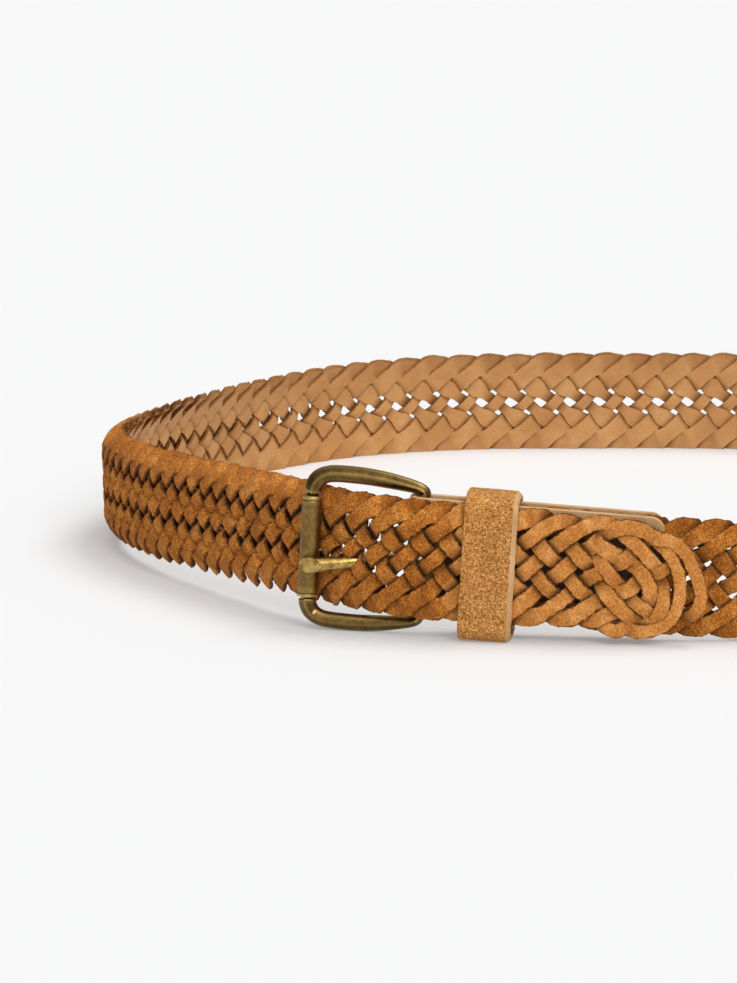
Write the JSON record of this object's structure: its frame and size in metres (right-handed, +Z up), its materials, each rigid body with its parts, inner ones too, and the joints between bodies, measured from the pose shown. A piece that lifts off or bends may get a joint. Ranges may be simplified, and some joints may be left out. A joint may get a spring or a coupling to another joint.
{
  "type": "braided leather belt",
  "caption": "Woven suede leather belt fastened into an oval loop and standing on its edge, with an antique brass roller buckle, a keeper loop and a rounded woven tip.",
  "frame": {"origin": "middle of the belt's bounding box on the surface it stands on", "axes": "+X along the loop's length, towards the end away from the buckle; +Y from the buckle side to the far side; +Z up, across the strap's width"},
  "size_m": [0.33, 0.2974, 0.0479],
  "materials": {
    "braid_suede": "napped suede outside, smooth grain inside",
    "tab_leather": "smooth natural leather",
    "keeper_suede": "coarse napped suede with a pale cut edge",
    "antique_brass": "darkened antique brass, rubbed bright on the ridges",
    "bright_brass": "polished brass, a little darkened"
  },
  "bodies": {
    "root": {"braided_strap": "braid_suede", "buckle_tab": "tab_leather", "keeper_loop": "keeper_suede", "buckle_frame": "antique_brass", "buckle_roller": "antique_brass", "buckle_prong": "bright_brass"}
  },
  "joints": []
}
